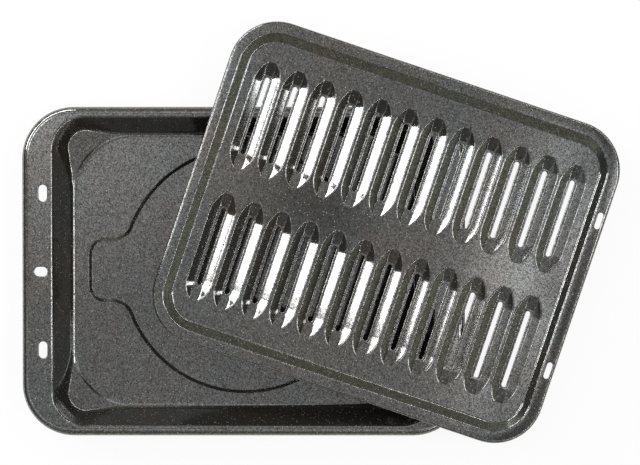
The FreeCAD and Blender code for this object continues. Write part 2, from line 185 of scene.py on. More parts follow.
class EnamelLook(bpy.types.PropertyGroup):
    """Colours and gloss of the porcelain enamel on one piece."""

    ground: tone("Ground", (0.018, 0.0185, 0.0175), "Main colour")
    warm: tone("Warm", (0.022, 0.018, 0.014), "Colour of the browner patches")
    speckle: tone("Speckle", (0.40, 0.40, 0.36), "Colour of the light specks")
    cool_shine: tone("Cool shine", (0.95, 1.0, 0.99), "Tint of the shine on the main colour")
    warm_shine: tone("Warm shine", (1.0, 0.965, 0.93), "Tint of the shine on the browner patches")
    roughness: FloatProperty(name="Roughness", description="Roughness of the glossy enamel",
                             default=0.09, min=0, max=1, subtype="FACTOR")
    refraction: FloatProperty(name="Refraction", description="Index of refraction of the glaze",
                              default=2.3, min=1)
    clouds: FloatProperty(name="Clouds", description="Browner patches in a metre", default=14, min=0)
    grains: FloatProperty(name="Grains", description="Fine grains in a metre", default=1150, min=0)
    dull_grain: FloatProperty(name="Dull grain", description="Specular level of the dullest grains",
                              default=0.12, min=0, max=1, subtype="FACTOR")
    bright_grain: FloatProperty(name="Bright grain", description="Specular level of the brightest grains",
                                default=0.88, min=0, max=1, subtype="FACTOR")
    cells: FloatProperty(name="Cells", description="Cells in a metre that may hold a light speck",
                         default=650, min=0)
    bare_cells: FloatProperty(name="Bare cells", description="Share of the cells that hold no speck",
                              default=0.6, min=0, max=1, subtype="FACTOR")
    speck_reach: FloatProperty(name="Speck reach", description="Radius of the largest speck in its cell",
                               default=0.36, min=0, max=1)
    peel: FloatProperty(name="Peel", description="Waves of the glaze in a metre", default=700, min=0)
    peel_depth: FloatProperty(name="Peel depth", description="Height of those waves",
                              default=0.000003, unit="LENGTH", precision=6)


class StudioSetup(bpy.types.PropertyGroup):
    """Camera, floor and the brightness of the room around them."""

    camera_place: FloatVectorProperty(name="Camera place", description="Where the camera hangs",
                                      default=(0.0738, 0.0689, 1.7084), subtype="TRANSLATION", unit="LENGTH")
    camera_target: FloatVectorProperty(name="Camera target", description="Middle of the picture",
                                       default=(0.0751, 0.0385, 0.041), subtype="TRANSLATION", unit="LENGTH")
    camera_roll: FloatProperty(name="Camera roll", description="Turn of the camera about its own axis",
                               default=math.radians(0.02), subtype="ANGLE")
    lens: FloatProperty(name="Lens", description="Focal length in millimetres", default=95.6, min=1)
    floor_tone: tone("Floor", (0.92, 0.92, 0.92), "Colour of the floor")
    floor_glow: FloatProperty(name="Floor glow", description="Share of white in the floor as it is seen",
                              default=0.9, min=0, max=1, subtype="FACTOR")
    low_tint: tone("Low tint", (0.98, 1.0, 0.82), "Tint of the room's lower part")
    ceiling_light: FloatProperty(name="Ceiling", description="Brightness of the ceiling", default=0.5, min=0)
    ring_light: FloatProperty(name="Ring", description="What the ring round the ceiling adds",
                              default=0.6, min=0)
    line_light: FloatProperty(name="Line", description="Brightness of the line along the right-hand wall",
                              default=14, min=0)
    wall_light: FloatProperty(name="Walls", description="Brightness of the lower walls", default=0.42, min=0)
    dark_light: FloatProperty(name="Dark band", description="Brightness above the lower walls",
                              default=0.025, min=0)


def rounded(corners, radii, steps):
    """Return a line of 2-D points with its inner corners rounded, and nothing of its two ends."""
    line = []
    for before, corner, after, radius in zip(corners, corners[1:], corners[2:], radii):
        corner = Vector(corner)
        back = (Vector(before) - corner).normalized()
        ahead = (Vector(after) - corner).normalized()
        half = back.angle(ahead) / 2
        middle = corner + (back + ahead).normalized() * (radius / math.sin(half))
        start = corner + back * (radius / math.tan(half)) - middle
        end = corner + ahead * (radius / math.tan(half)) - middle
        turn = math.pi - 2 * half
        for step in range(steps + 1):
            share = step / steps
            line.append(middle + (start * math.sin((1 - share) * turn) + end * math.sin(share * turn))
                        / math.sin(turn))
    return line


def sampled_arc(middle_x, middle_y, radius, start, end, steps):
    """Return points along an arc between two angles in radians."""
    points = []
    for step in range(steps + 1):
        turn = start + (end - start) * step / steps
        points.append((middle_x + radius * math.cos(turn), middle_y + radius * math.sin(turn)))
    return points


def joined(arcs, steps):
    """Return the points of arcs joined into a loop by straight runs of so many parts."""
    loop = []
    for index, points in enumerate(arcs):
        x0, y0 = points[-1]
        x1, y1 = arcs[(index + 1) % len(arcs)][0]
        loop += points
        for step in range(1, steps):
            share = step / steps
            loop.append((x0 + (x1 - x0) * share, y0 + (y1 - y0) * share))
    return loop


def rounded_rectangle(min_x, max_x, half_y, corner, side_steps):
    """Return the outline of a rectangle with round corners, anticlockwise from its +X side."""
    arcs = []
    middles = ((max_x - corner, half_y - corner), (min_x + corner, half_y - corner),
               (min_x + corner, corner - half_y), (max_x - corner, corner - half_y))
    for quarter, (middle_x, middle_y) in enumerate(middles):
        start = quarter * QUARTER_TURN
        arcs.append(sampled_arc(middle_x, middle_y, corner, start, start + QUARTER_TURN, CORNER_STEPS))
    return joined(arcs, side_steps)


def oblong(middle_x, middle_y, long, wide, turned, grow):
    """Return the outline of a hole with round ends, along X or, if turned, along Y."""
    radius = wide / 2 + grow
    straight = (long - wide) / 2
    loop = joined([sampled_arc(straight, 0, radius, -QUARTER_TURN, QUARTER_TURN, 2 * BEND_STEPS),
                   sampled_arc(-straight, 0, radius, QUARTER_TURN, 3 * QUARTER_TURN, 2 * BEND_STEPS)], 1)
    if turned:
        loop = [(-y, x) for x, y in loop]
    return [(middle_x + x, middle_y + y) for x, y in loop]


class Sheet:
    """The upper surface of a pressed sheet while it is drawn."""

    def __init__(self):
        self.mesh = bmesh.new()

    def ring(self, outline, heights):
        """Add a closed ring of points at one height, or at one height for each point."""
        if isinstance(heights, float):
            heights = [heights] * len(outline)
        return [self.mesh.verts.new((x, y, z)) for (x, y), z in zip(outline, heights)]

    def strip(self, outer, inner):
        """Join two rings of as many points by a strip that faces up or outwards."""
        for index in range(len(outer)):
            after = (index + 1) % len(outer)
            self.mesh.faces.new((outer[index], outer[after], inner[after], inner[index]))

    def strips(self, rings):
        """Join each ring to the next one inwards."""
        for outer, inner in zip(rings, rings[1:]):
            self.strip(outer, inner)

    def fill(self, rim, holes=(), extra=()):
        """Fill the space inside a ring with triangles, less the holes, through extra points."""
        verts = [vert for loop in (rim, *holes) for vert in loop]
        loops = []
        first = 0
        for loop in (rim, *holes):
            loops.append(list(range(first, first + len(loop))))
            first += len(loop)
        verts += [self.mesh.verts.new(place) for place in extra]
        in_millimetres = [Vector((vert.co.x, vert.co.y)) * 1000 for vert in verts]
        edges = [(loop[i - 1], loop[i]) for loop in loops for i in range(len(loop))]
        inside_only, nearness = 1, 1e-4
        found = delaunay_2d_cdt(in_millimetres, edges, loops, inside_only, nearness)
        faces, sources, origins = found[2], found[3], found[5]
        for face, inside in zip(faces, origins):
            if inside == [0]:
                self.mesh.faces.new([verts[sources[corner][0]] for corner in face])

    def turned_down_edge(self, min_x, max_x, half_y, corner, roll, skirt, top, side_steps):
        """Draw the turned-down outer edge and return its innermost ring, on the flat rim."""
        section = [Vector((0, top - skirt))]
        section += rounded([(0, top - skirt), (0, top), (-2 * roll, top)], [roll], BEND_STEPS)
        rings = []
        for out, z in section:
            outline = rounded_rectangle(min_x - out, max_x + out, half_y + out, corner + out, side_steps)
            rings.append(self.ring(outline, float(z)))
        self.strips(rings)
        return rings[-1]

    def hole(self, outline_at, top, lip):
        """Draw the rounded edge of a hole and return its outermost ring, on the flat.

        outline_at gives the hole's outline, grown by a length.
        """
        section = rounded([(2 * lip, top), (0, top), (0, top - 2 * lip)], [lip], BEND_STEPS)
        rings = [self.ring(outline_at(out), float(z)) for out, z in section]
        self.strips(rings)
        return rings[0]

    def finished(self, name, sheet, place, material, node):
        """Make the drawn surface into a piece with its thickness, in place of a CAD node."""
        mesh = bpy.data.meshes.new(name)
        self.mesh.transform(place)
        for face in self.mesh.faces:
            face.smooth = True
        self.mesh.to_mesh(mesh)
        self.mesh.free()
        mesh.materials.append(material)
        piece = bpy.data.objects.new(name, mesh)
        bpy.context.scene.collection.objects.link(piece)
        thickness = piece.modifiers.new("Thickness", "SOLIDIFY")
        thickness.thickness = sheet
        thickness.offset = -1
        thickness.use_even_offset = True
        shading = piece.modifiers.new("Even shading", "WEIGHTED_NORMAL")
        shading.weight = 80
        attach(piece, "root")
        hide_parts(node)
        return piece


def add_node(tree, kind, values=None, **settings):
    """Add a shader node, with values for its inputs and settings for its own fields."""
    node = tree.nodes.new(kind)
    for name, value in settings.items():
        setattr(node, name, value)
    for name, value in (values or {}).items():
        node.inputs[name].default_value = value
    return node


def add_mix(tree, share, first, second):
    """Add a mix of two colours, each a constant or an output, and return its output."""
    mix = tree.nodes.new("ShaderNodeMix")
    mix.data_type = "RGBA"
    tree.links.new(share, mix.inputs["Factor"])
    for name, colour in (("A", first), ("B", second)):
        socket = [each for each in mix.inputs if each.name == name and each.type == "RGBA"][0]
        if isinstance(colour, bpy.types.NodeSocket):
            tree.links.new(colour, socket)
        else:
            socket.default_value = (*colour, 1)
    return [each for each in mix.outputs if each.type == "RGBA"][0]


def add_math(tree, operation, *values):
    """Add a calculation with numbers and outputs, and return its output."""
    node = add_node(tree, "ShaderNodeMath", operation=operation)
    for socket, value in zip(node.inputs, values):
        if isinstance(value, bpy.types.NodeSocket):
            tree.links.new(value, socket)
        else:
            socket.default_value = value
    return node.outputs[0]


def add_range(tree, value, low, high, start=0.0, end=1.0, kind="LINEAR"):
    """Add a map of an output from low..high to start..end, and return its output."""
    node = add_node(tree, "ShaderNodeMapRange", {"From Min": low, "From Max": high, "To Min": start,
                                                 "To Max": end}, interpolation_type=kind)
    tree.links.new(value, node.inputs["Value"])
    return node.outputs["Result"]


def add_texture(tree, kind, place, values):
    """Add a texture at a place, and return its node."""
    node = add_node(tree, kind, values)
    tree.links.new(place, node.inputs["Vector"])
    return node


def add_seen(tree):
    """Add what tells the rays that reach the camera straight or through glass, and return its output."""
    path = add_node(tree, "ShaderNodeLightPath")
    return add_math(tree, "MAXIMUM", path.outputs["Is Camera Ray"], path.outputs["Is Transmission Ray"])


CLOUD_SPREAD = (0.35, 0.65)     # where the clouds' noise turns from one colour to the other
SPECK_EDGE = 0.15               # width of a speck's soft edge, measured as its radius is
GLOSS_SPREAD = (0.7, 1.4)       # the least and the most roughness, as shares of the setting


def enamel(name, look):
    """Return a glossy speckled porcelain enamel."""
    material = bpy.data.materials.new(name)
    material.use_nodes = True
    tree = material.node_tree
    tree.nodes.clear()
    place = add_node(tree, "ShaderNodeTexCoord").outputs["Object"]

    clouds = add_texture(tree, "ShaderNodeTexNoise", place,
                         {"Scale": look.clouds, "Detail": 4.0, "Roughness": 0.6}).outputs["Fac"]
    warmth = add_range(tree, clouds, *CLOUD_SPREAD)
    patches = add_mix(tree, warmth, look.ground, look.warm)

    # Dense fine grains that shine differently
    grains = add_texture(tree, "ShaderNodeTexVoronoi", place, {"Scale": look.grains, "Randomness": 1.0})
    shade = add_node(tree, "ShaderNodeSeparateColor")
    tree.links.new(grains.outputs["Color"], shade.inputs["Color"])
    glint = add_range(tree, shade.outputs["Green"], 0, 1, look.dull_grain, look.bright_grain)

    # Fewer light specks of different sizes, each round the middle of its cell
    cells = add_texture(tree, "ShaderNodeTexVoronoi", place, {"Scale": look.cells, "Randomness": 1.0})
    size = add_node(tree, "ShaderNodeSeparateColor")
    tree.links.new(cells.outputs["Color"], size.inputs["Color"])
    reach = add_range(tree, size.outputs["Red"], look.bare_cells, 1, 0, look.speck_reach)
    dots = add_math(tree, "SUBTRACT", reach, cells.outputs["Distance"])
    speckled = add_mix(tree, add_range(tree, dots, 0, SPECK_EDGE), patches, look.speckle)

    # The glaze: gloss that changes with the clouds, and faint waves
    gloss = add_range(tree, clouds, 0, 1, *(look.roughness * share for share in GLOSS_SPREAD))
    shine = add_mix(tree, warmth, look.cool_shine, look.warm_shine)
    peel = add_texture(tree, "ShaderNodeTexNoise", place,
                       {"Scale": look.peel, "Detail": 2.0, "Roughness": 0.5})
    waves = add_node(tree, "ShaderNodeBump", {"Strength": 1.0, "Distance": look.peel_depth})
    tree.links.new(peel.outputs["Fac"], waves.inputs["Height"])

    surface = add_node(tree, "ShaderNodeBsdfPrincipled", {"IOR": look.refraction})
    for source, socket in ((speckled, "Base Color"), (glint, "Specular IOR Level"), (shine, "Specular Tint"),
                           (gloss, "Roughness"), (waves.outputs["Normal"], "Normal")):
        tree.links.new(source, surface.inputs[socket])
    output = add_node(tree, "ShaderNodeOutputMaterial")
    tree.links.new(surface.outputs["BSDF"], output.inputs["Surface"])
    return material


def ramp_rise(sizes, x, y):
    """Return how far a sloping corner of the pan's floor stands above the floor at a place."""
    floor_x = (PAN_HIGH.x - PAN_LOW.x) / 2 - sizes.end_flange - sizes.wall_run
    floor_y = (PAN_HIGH.y - PAN_LOW.y) / 2 - sizes.side_rim - sizes.wall_run
    out_x = max(abs(x) - (floor_x - sizes.ramp_radius), 0)
    out_y = max(abs(y) - (floor_y - sizes.ramp_radius), 0)
    past = math.hypot(out_x, out_y) - sizes.ramp_radius
    crease = sizes.ramp_crease
    if past <= -crease:
        return 0.0
    if past < crease:
        return sizes.ramp_slope * (past + crease) ** 2 / (4 * crease)
    return sizes.ramp_slope * past


def blended(wall, ramp, width):
    """Return the higher of two heights, with the crease between them rounded."""
    gap = abs(wall - ramp)
    if gap >= width or width <= 0:
        return max(wall, ramp)
    return max(wall, ramp) + (width - gap) ** 2 / (4 * width)


def well_outline(sizes, out):
    """Return the outline of the well in the pan's floor, moved outwards."""
    half_lobe = sizes.lobe_width / 2
    corner_x = sizes.lobe_reach - sizes.lobe_corner
    corner_y = half_lobe - sizes.lobe_corner
    fillet_y = half_lobe + sizes.lobe_fillet
    fillet_x = math.sqrt((sizes.well_disc + sizes.lobe_fillet) ** 2 - fillet_y ** 2)
    lean = math.atan2(fillet_y, fillet_x)
    fillet = sizes.lobe_fillet - out
    corner = sizes.lobe_corner + out
    disc = sizes.well_disc + out
    half_turn = math.pi
    steps = CORNER_STEPS // 2
    return joined([
        sampled_arc(fillet_x, -fillet_y, fillet, half_turn - lean, QUARTER_TURN, steps),
        sampled_arc(corner_x, -corner_y, corner, -QUARTER_TURN, 0, steps),
        sampled_arc(corner_x, corner_y, corner, 0, QUARTER_TURN, steps),
        sampled_arc(fillet_x, fillet_y, fillet, -QUARTER_TURN, lean - half_turn, steps),
        sampled_arc(0, 0, disc, lean, half_turn - lean, 6 * CORNER_STEPS)[1:-1],
        sampled_arc(-fillet_x, fillet_y, fillet, -lean, -QUARTER_TURN, steps),
        sampled_arc(-corner_x, corner_y, corner, QUARTER_TURN, half_turn, steps),
        sampled_arc(-corner_x, -corner_y, corner, half_turn, 3 * QUARTER_TURN, steps),
        sampled_arc(-fillet_x, -fillet_y, fillet, QUARTER_TURN, lean, steps),
        sampled_arc(0, 0, disc, half_turn + lean, 2 * half_turn - lean, 6 * CORNER_STEPS)[1:-1],
    ], 1)


def draw_bowl(sheet, sizes, opening_x, opening_y, opening_corner, top):
    """Draw the pan from the bend at its rim down to the floor, and return its rings and the last one's place.

    The place is how far that ring lies out of the opening, so less than nothing.
    """
    section = rounded([(sizes.end_flange, top), (0, top), (-sizes.wall_run, sizes.floor_level),
                       (-2 * sizes.wall_run, sizes.floor_level)], [sizes.bend, sizes.foot], BEND_STEPS)
    wall_start, wall_end = section[BEND_STEPS], section[BEND_STEPS + 1]
    wall = [wall_start.lerp(wall_end, step / WALL_STEPS) for step in range(1, WALL_STEPS)]
    inner = section[-1] - Vector((FLOOR_RING, 0))
    section = section[:BEND_STEPS + 1] + wall + section[BEND_STEPS + 1:] + [inner]
    rings = []
    for out, z in section:
        outline = rounded_rectangle(-opening_x - out, opening_x + out, opening_y + out,
                                    opening_corner + out, PAN_SIDE_STEPS)
        heights = []
        for x, y in outline:
            rise = ramp_rise(sizes, x, y)
            heights.append(blended(z, sizes.floor_level + rise, min(WALL_CREASE, rise)))
        rings.append(sheet.ring(outline, heights))
    sheet.strips(rings)
    return rings, inner.x


def sloping_corner_points(sizes, floor_x, floor_y, floor_corner, middle_x, middle_y):
    """Return points on the pan's four sloping floor corners, along arcs inside the ring of floor.

    The ring's half-lengths and corner radius come first, then the middle of one corner's arcs.
    """
    crease = sizes.ramp_crease
    reaches = [sizes.ramp_radius + crease * step / 3 for step in range(-3, 4)]
    reaches += [sizes.ramp_radius + crease + RAMP_SPACING * step for step in range(1, 5)]
    points = []
    for side_x, side_y in ((1, 1), (-1, 1), (-1, -1), (1, -1)):
        for reach in reaches:
            for x, y in sampled_arc(middle_x, middle_y, reach, 0, QUARTER_TURN, RAMP_STEPS):
                past_x = max(x - floor_x + floor_corner, 0)
                past_y = max(y - floor_y + floor_corner, 0)
                past = max(x - floor_x, y - floor_y, math.hypot(past_x, past_y) - floor_corner)
                if past < -CLEARANCE:
                    points.append((side_x * x, side_y * y, sizes.floor_level + ramp_rise(sizes, x, y)))
    return points


def build_drip_pan(sizes, material):
    """Draw the drip pan and put it in place of its CAD node."""
    half_x = (PAN_HIGH.x - PAN_LOW.x) / 2
    half_y = (PAN_HIGH.y - PAN_LOW.y) / 2
    top = PAN_HIGH.z
    sheet = Sheet()
    rim = sheet.turned_down_edge(-half_x, half_x, half_y, sizes.corner, sizes.roll, sizes.skirt, top,
                                 PAN_SIDE_STEPS)
    opening_x = half_x - sizes.end_flange
    opening_y = half_y - sizes.side_rim
    opening_corner = sizes.floor_corner + sizes.wall_run
    bowl, inner = draw_bowl(sheet, sizes, opening_x, opening_y, opening_corner, top)

    # The flat rim with its hanging holes
    def outer_hole(middle_y):
        return lambda grow: oblong(-half_x + sizes.hang_inset, middle_y, sizes.hang_length,
                                   sizes.hang_width, True, grow)

    def middle_hole(grow):
        return oblong(-half_x + sizes.middle_inset, 0, sizes.middle_length, sizes.middle_width, False, grow)

    spacing = sizes.hang_spacing / 2
    outlines = (outer_hole(-spacing), outer_hole(spacing), middle_hole)
    holes = [sheet.hole(outline, top, PAN_HOLE_LIP) for outline in outlines]
    sheet.fill(rim, [bowl[0], *holes])

    # The well pressed into the floor
    slope = sizes.well_run / 2
    depth = sizes.well_depth
    section = rounded([(4 * slope, 0), (slope, 0), (-slope, -depth), (-4 * slope, -depth)],
                      [WELL_BEND, WELL_BEND], BEND_STEPS // 2)
    well = [sheet.ring(well_outline(sizes, out), float(sizes.floor_level + z)) for out, z in section]
    sheet.strips(well)
    sheet.fill(well[-1])

    # The floor between the well and the wall
    arcs_x = opening_x - sizes.wall_run - sizes.ramp_radius
    arcs_y = opening_y - sizes.wall_run - sizes.ramp_radius
    points = sloping_corner_points(sizes, opening_x + inner, opening_y + inner, opening_corner + inner,
                                   arcs_x, arcs_y)
    sheet.fill(bowl[-1], [well[0]], points)
    return sheet.finished("drip_pan_enamelled", sizes.sheet, Matrix(), material, "drip_pan")


def trough_ring(sizes, half_width, end, straight, swing):
    """Return a quarter of the outline of a trough at one depth, from its side to its end.

    Each point has its share of the end's height, the rest being the side's.
    """
    radius = swing + half_width
    before = end - SIDE_TIP
    last = math.asin((before - straight) / radius) if before > straight else 0.0
    quarter = [(half_width, 0.0, 0.0), (half_width, straight / 2, 0.0)]
    for step in range(BOW_STEPS + 1):
        turn = last * step / BOW_STEPS
        quarter.append((radius * math.cos(turn) - swing, straight + radius * math.sin(turn), 0.0))
    start = quarter[-1][:2]
    corner_x = math.sqrt(radius ** 2 - (end - straight) ** 2) - swing
    corner = rounded([start, (corner_x, end), (-corner_x, end)], [sizes.keel_corner], KEEL_STEPS)
    for step, (x, y) in enumerate(corner):
        quarter.append((x, y, step / KEEL_STEPS))
    quarter.append((0.0, end, 1.0))
    return quarter


def slot_ring(half_width, half_length, count):
    """Return a quarter of a slot's outline with as many points as a trough's."""
    straight = half_length - half_width
    quarter = [(half_width, 0.0), (half_width, straight / 2)]
    steps = count - 3
    for step in range(steps + 1):
        turn = QUARTER_TURN * step / steps
        quarter.append((half_width * math.cos(turn), straight + half_width * math.sin(turn)))
    return quarter


def all_round(quarter):
    """Return a whole outline, anticlockwise, from its first quarter, which ends on both axes."""
    half = quarter + [(-point[0], *point[1:]) for point in reversed(quarter[:-1])]
    other = [(-point[0], -point[1], *point[2:]) for point in half[1:-1]]
    return half + other


def draw_trough(sheet, sizes, middle_x, middle_y, half_width, half_length, top):
    """Draw one trough with its slot and return its outermost ring, on the flat field."""
    straight = half_length + sizes.blunt - sizes.bow
    swing = (sizes.bow ** 2 - half_width ** 2) / (2 * half_width)
    flat_end = half_length - sizes.flat_setback
    bottom = -sizes.trough_depth
    across = [(2 * half_width, 0), (half_width, 0), (sizes.flat_width / 2, bottom), (0, bottom)]
    along = [(2 * half_length, 0), (half_length, 0), (flat_end, bottom), (0, bottom)]
    sections = []
    for line, hollow in ((across, sizes.hollow), (along, 0)):
        section = rounded(line, [sizes.lip, sizes.trough_foot], TROUGH_STEPS)
        start, stop = section[TROUGH_STEPS], section[TROUGH_STEPS + 1]
        wall = []
        for part in range(1, TROUGH_WALL_STEPS):
            share = part / TROUGH_WALL_STEPS
            point = start.lerp(stop, share)
            point.y += hollow * share * (1 - share) * (stop.y - start.y)
            wall.append(point)
        sections.append(section[:TROUGH_STEPS + 1] + wall + section[TROUGH_STEPS + 1:])
    rings = []
    for (wide, side_z), (end, end_z) in zip(*sections):
        quarter = trough_ring(sizes, wide, end, straight, swing)
        whole = all_round(quarter)
        outline = [(middle_x + x, middle_y + y) for x, y, share in whole]
        heights = [top + side_z + (end_z - side_z) * share for x, y, share in whole]
        rings.append(sheet.ring(outline, heights))

    slot_end = flat_end - sizes.slot_land
    section = rounded([(2 * SLOT_LIP, bottom), (0, bottom), (0, bottom - 2 * SLOT_LIP)], [SLOT_LIP],
                      TROUGH_STEPS)
    for out, z in section:
        ring = slot_ring(sizes.slot_width / 2 + out, slot_end + out, len(quarter))
        outline = [(middle_x + x, middle_y + y) for x, y in all_round(ring)]
        rings.append(sheet.ring(outline, float(top + z)))
    sheet.strips(rings)
    return rings[0]


def build_grid(sizes, material):
    """Draw the slotted grid, turn it and put it in place of its CAD node."""
    top = GRID_HIGH.z
    half_x = sizes.length / 2
    half_y = sizes.width / 2
    sheet = Sheet()
    rim = sheet.turned_down_edge(-half_x, half_x, half_y, sizes.corner, sizes.roll, sizes.skirt, top,
                                 GRID_SIDE_STEPS)

    # The tray's slope, whose width differs between its sides and its two ends
    def section(run):
        return rounded([(2 * run, top), (0, top), (-run, top - sizes.tray_depth),
                        (-3 * run, top - sizes.tray_depth)], [sizes.bend, sizes.foot], BEND_STEPS)

    rings = []
    sections = zip(section(sizes.plain_run), section(sizes.holed_run), section(sizes.side_run))
    for plain, holed, side in sections:
        share = -side.x / sizes.side_run
        corner = sizes.tray_corner + (sizes.field_corner - sizes.tray_corner) * share
        outline = rounded_rectangle(-half_x + sizes.plain_rim - plain.x, half_x - sizes.holed_rim + holed.x,
                                    half_y - sizes.side_rim + side.x, corner, GRID_SIDE_STEPS)
        heights = []
        middle_y = half_y - sizes.side_rim + side.x - corner
        for x, y in outline:
            end_z = holed.y if x > 0 else plain.y
            facing = min(max((abs(y) - middle_y) / corner, 0), 1) ** 2
            heights.append(end_z + (side.y - end_z) * facing)
        rings.append(sheet.ring(outline, heights))
    sheet.strips(rings)

    def outer_hole(middle_y):
        return lambda grow: oblong(half_x - sizes.hang_inset, middle_y, sizes.hang_length,
                                   sizes.hang_width, True, grow)

    spacing = sizes.hang_spacing / 2
    holes = [sheet.hole(outer_hole(middle_y), top, GRID_HOLE_LIP) for middle_y in (-spacing, spacing)]
    sheet.fill(rim, [rings[0], *holes])

    # The flat field with its two rows of troughs
    field = top - sizes.tray_depth
    field_min = -half_x + sizes.plain_rim + sizes.plain_run
    field_max = half_x - sizes.holed_rim - sizes.holed_run
    field_half = half_y - sizes.side_rim - sizes.side_run
    pitch = (field_max - field_min - 2 * sizes.end_margin + sizes.ridge) / sizes.columns
    half_width = (pitch - sizes.ridge) / 2
    half_length = (field_half - sizes.side_margin - sizes.row_gap / 2) / 2
    middle_y = sizes.row_gap / 2 + half_length
    troughs = []
    for column in range(sizes.columns):
        middle_x = field_min + sizes.end_margin + half_width + column * pitch
        for side in (-1, 1):
            troughs.append(draw_trough(sheet, sizes, middle_x, side * middle_y, half_width, half_length,
                                       field))
    sheet.fill(rings[-1], troughs)

    middle = (GRID_LOW + GRID_HIGH) / 2
    place = Matrix.Translation((middle.x, middle.y, 0)) @ Matrix.Rotation(sizes.turn, 4, "Z")
    return sheet.finished("broiling_grid_enamelled", sizes.sheet, place, material, "broiling_grid")


FLOOR_HALF = 0.75        # half of the floor's side, in metres


def build_floor(setup):
    """Lay a wide pale floor that shows as white and keeps the object's shadow."""
    mesh = bpy.data.meshes.new("studio_floor")
    drawn = bmesh.new()
    bmesh.ops.create_grid(drawn, x_segments=1, y_segments=1, size=FLOOR_HALF)
    drawn.to_mesh(mesh)
    drawn.free()
    floor = bpy.data.objects.new("studio_floor", mesh)
    bpy.context.scene.collection.objects.link(floor)
    material = bpy.data.materials.new("Studio floor")
    material.use_nodes = True
    tree = material.node_tree
    tree.nodes.clear()
    link = tree.links.new
    paper = add_node(tree, "ShaderNodeBsdfDiffuse", {"Color": (*setup.floor_tone, 1)})
    white = add_node(tree, "ShaderNodeEmission", {"Strength": 1.0})
    mixed = add_node(tree, "ShaderNodeMixShader")
    link(add_math(tree, "MULTIPLY", add_seen(tree), setup.floor_glow), mixed.inputs[0])
    link(paper.outputs[0], mixed.inputs[1])
    link(white.outputs[0], mixed.inputs[2])
    output = add_node(tree, "ShaderNodeOutputMaterial")
    link(mixed.outputs[0], output.inputs["Surface"])
    mesh.materials.append(material)


def add_lamp(name, place, target, size_x, size_y, radiance):
    """Hang a soft box that faces a target and has a given brightness of its own surface."""
    lamp = bpy.data.lights.new(name, "AREA")
    lamp.shape = "RECTANGLE"
    lamp.size = size_x
    lamp.size_y = size_y
    lamp.energy = radiance * math.pi * size_x * size_y
    box = bpy.data.objects.new(name, lamp)
    box.location = place
    box.rotation_euler = (Vector(target) - Vector(place)).to_track_quat("-Z", "Y").to_euler()
    bpy.context.scene.collection.objects.link(box)


# The soft boxes stand round a point among the troughs. Each has its distance along the ground,
# the directions of its two sides and the heights of its lower and upper edge, in degrees,
# and its brightness
LAMP_MIDDLE = Vector((0.14, 0.04, 0.05))
SOFT_BOXES = (
    ("left_box", 1.6, 149.4, 168.2, 18.2, 28.5, 13),
    ("back_left_box", 1.6, 110, 140, 18.2, 28.5, 13),
    ("between_box", 1.6, 140, 149.4, 23.3, 28.5, 13),
    ("right_box", 1.7, -12.4, -5, 28, 33.5, 8),
    ("upper_left_box", 1.5, 150, 170, 31.5, 38, 0.45),
    ("right_strip", 1.5, -16, 12, 53, 66, 7),
    ("left_strip", 1.5, 140, 170, 53, 66, 6),
)


def build_lamps():
    """Hang the soft boxes so that they face the grid."""
    middle = LAMP_MIDDLE
    for name, away, *angles, brightness in SOFT_BOXES:
        first, last, low, high = (math.radians(angle) for angle in angles)
        facing = (first + last) / 2
        width = 2 * away * math.tan((last - first) / 2)
        rise = away * (math.tan(high) - math.tan(low))
        lift = away * (math.tan(high) + math.tan(low)) / 2
        place = middle + Vector((away * math.cos(facing), away * math.sin(facing), lift))
        add_lamp(name, place, Vector((middle.x, middle.y, place.z)), width, rise, brightness)


# Where the room changes, as heights above the ground: 0 at the horizon and 1 overhead
DARK_BAND = (0.33, 0.42)        # the lower walls fade into a dark band
CEILING_EDGE = (0.47, 0.57)     # the dark band fades into the ceiling
LINE_HEIGHT = 0.566             # a bright line along the right-hand wall
LINE_FADE = (0.018, 0.022)
RING_HEIGHT = 0.888             # a brighter ring round the ceiling
RING_FADE = (0.045, 0.06)

# Where it changes sideways, by the X or the Y of a direction
LEFT_WALL = (-0.92, -0.6)       # X: the lower walls are darker further left
LINE_START = (0.2, 0.35)        # X: the line is on the right only
LINE_CORNERS = (0.2, 0.28)      # Y, either way: the line keeps to the corners

LEFT_SHARE = 0.15               # what the left keeps of the lower walls' brightness
DARKEST = 0.02                  # the ceiling's lowest brightness

# Soft oval glows and shades on the ceiling, which lie askew as the grid does: the direction,
# the half-axes and the brightness of each
GLOWS = (
    ((-0.16, 0.085, 0.98), (0.16, 0.16, 0.16), 0.84),
    ((0.12, -0.0456, 0.9925), (0.042, 0.14, 0.2), 2.0),
    ((0.1535, -0.0517, 0.987), (0.03, 0.3, 0.2), -3.0),
    ((0.188, 0.005, 0.982), (0.035, 0.05, 0.05), 3.1),
    ((0.0, 0.0, 1.0), (0.05, 0.05, 0.05), -0.47),
    ((-0.187, -0.557, 0.809), (0.35, 0.35, 0.25), -0.5),
    ((-0.46, 0.0, 0.888), (0.3, 0.12, 0.3), -0.8),
    ((0.354, 0.354, 0.866), (0.25, 0.25, 0.25), -1.5),
    ((0.354, -0.354, 0.866), (0.25, 0.25, 0.25), -1.5),
)


def add_near(tree, value, middle, fade, glow):
    """Add a glow where an output is near a value, fading between two distances, and return it."""
    distance = add_math(tree, "ABSOLUTE", add_math(tree, "SUBTRACT", value, middle))
    return add_range(tree, distance, *fade, glow, 0.0)


def add_glow(tree, direction, place, reach, brightness):
    """Add a soft oval glow round a direction, and return its output."""
    oval = add_node(tree, "ShaderNodeMapping", {"Location": place, "Rotation": (0, 0, GRID_TURN),
                                                "Scale": reach}, vector_type="TEXTURE")
    tree.links.new(direction, oval.inputs["Vector"])
    away = add_node(tree, "ShaderNodeVectorMath", operation="LENGTH")
    tree.links.new(oval.outputs[0], away.inputs[0])
    return add_range(tree, away.outputs["Value"], 0, 1, brightness, 0.0, "SMOOTHSTEP")


